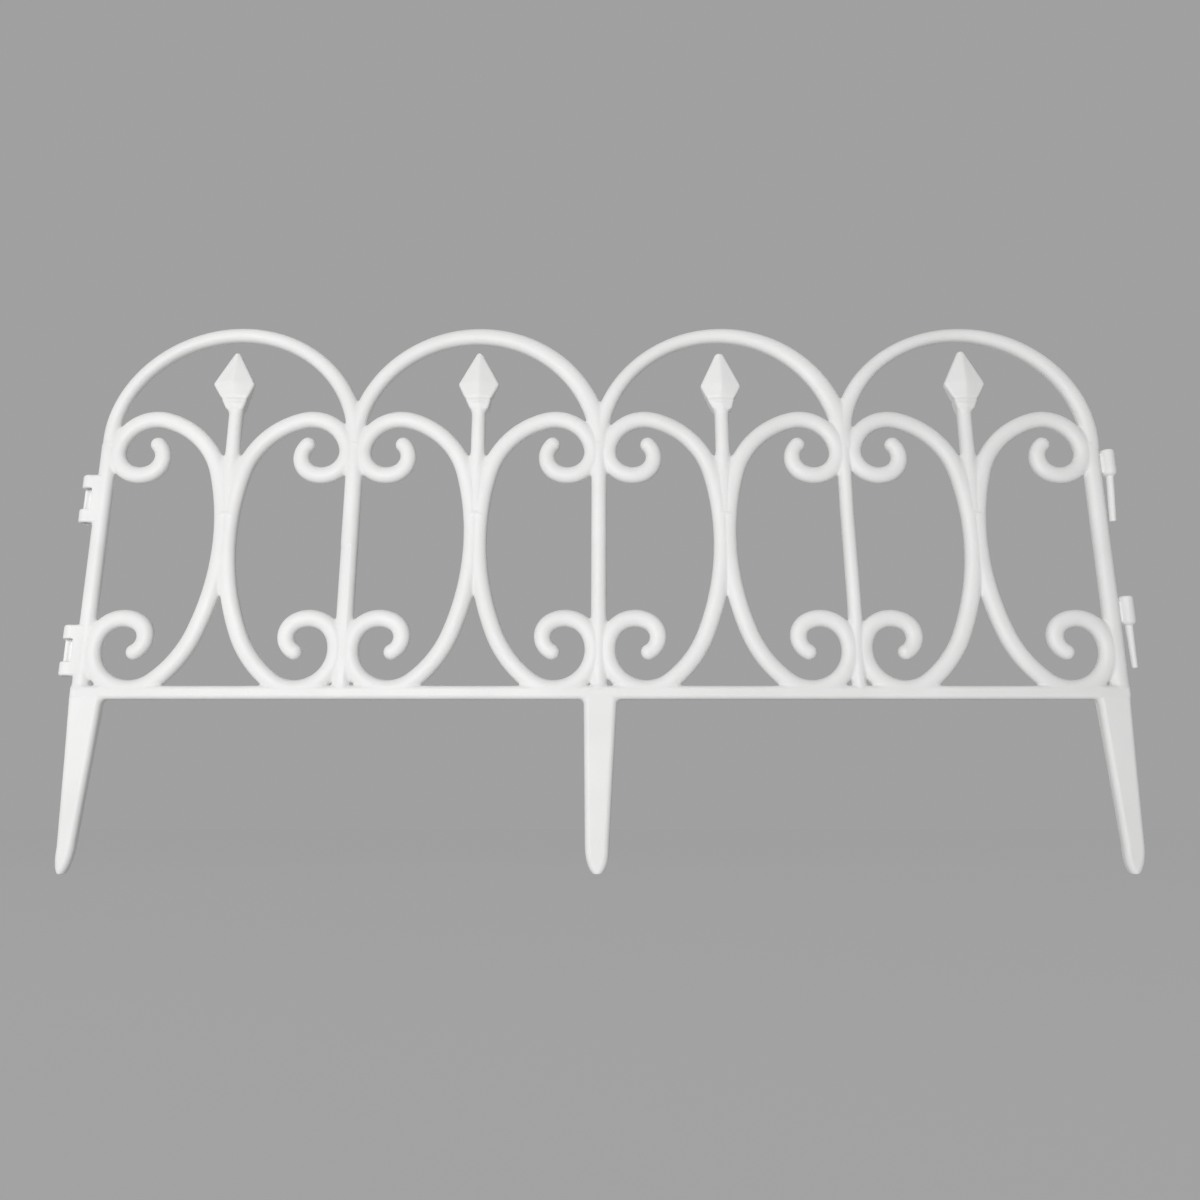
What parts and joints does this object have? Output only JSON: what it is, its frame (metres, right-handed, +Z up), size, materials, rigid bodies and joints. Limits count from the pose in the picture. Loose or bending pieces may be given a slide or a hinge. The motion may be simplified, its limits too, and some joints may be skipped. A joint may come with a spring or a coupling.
{
  "type": "garden fence panel",
  "caption": "Low white moulded plastic garden edging panel with round arches, C-scrolls, spear finials, ground stakes, and hinge sockets and pins at its ends.",
  "frame": {"origin": "centre of the middle stake's flat foot, the lowest level of the panel, midway along its posts", "axes": "+X along the panel towards the end with the hinge pins, +Y through the panel from the front to the back, +Z up"},
  "size_m": [0.6033, 0.0104, 0.3186],
  "materials": {
    "white_plastic": "satin"
  },
  "bodies": {
    "root": {"bottom_rail": "white_plastic", "left_end_post": "white_plastic", "divider_post_1": "white_plastic", "divider_post_2": "white_plastic", "divider_post_3": "white_plastic", "right_end_post": "white_plastic", "arch_1": "white_plastic", "arch_2": "white_plastic", "arch_3": "white_plastic", "arch_4": "white_plastic", "spear_rod_1": "white_plastic", "spear_rod_2": "white_plastic", "spear_rod_3": "white_plastic", "spear_rod_4": "white_plastic", "scroll_1_left": "white_plastic", "scroll_1_right": "white_plastic", "scroll_2_left": "white_plastic", "scroll_2_right": "white_plastic", "scroll_3_left": "white_plastic", "scroll_3_right": "white_plastic", "scroll_4_left": "white_plastic", "scroll_4_right": "white_plastic", "spear_head_1": "white_plastic", "spear_head_2": "white_plastic", "spear_head_3": "white_plastic", "spear_head_4": "white_plastic", "left_stake": "white_plastic", "middle_stake": "white_plastic", "right_stake": "white_plastic", "upper_hinge_socket": "white_plastic", "lower_hinge_socket": "white_plastic", "upper_hinge_pin": "white_plastic", "lower_hinge_pin": "white_plastic"}
  },
  "joints": []
}
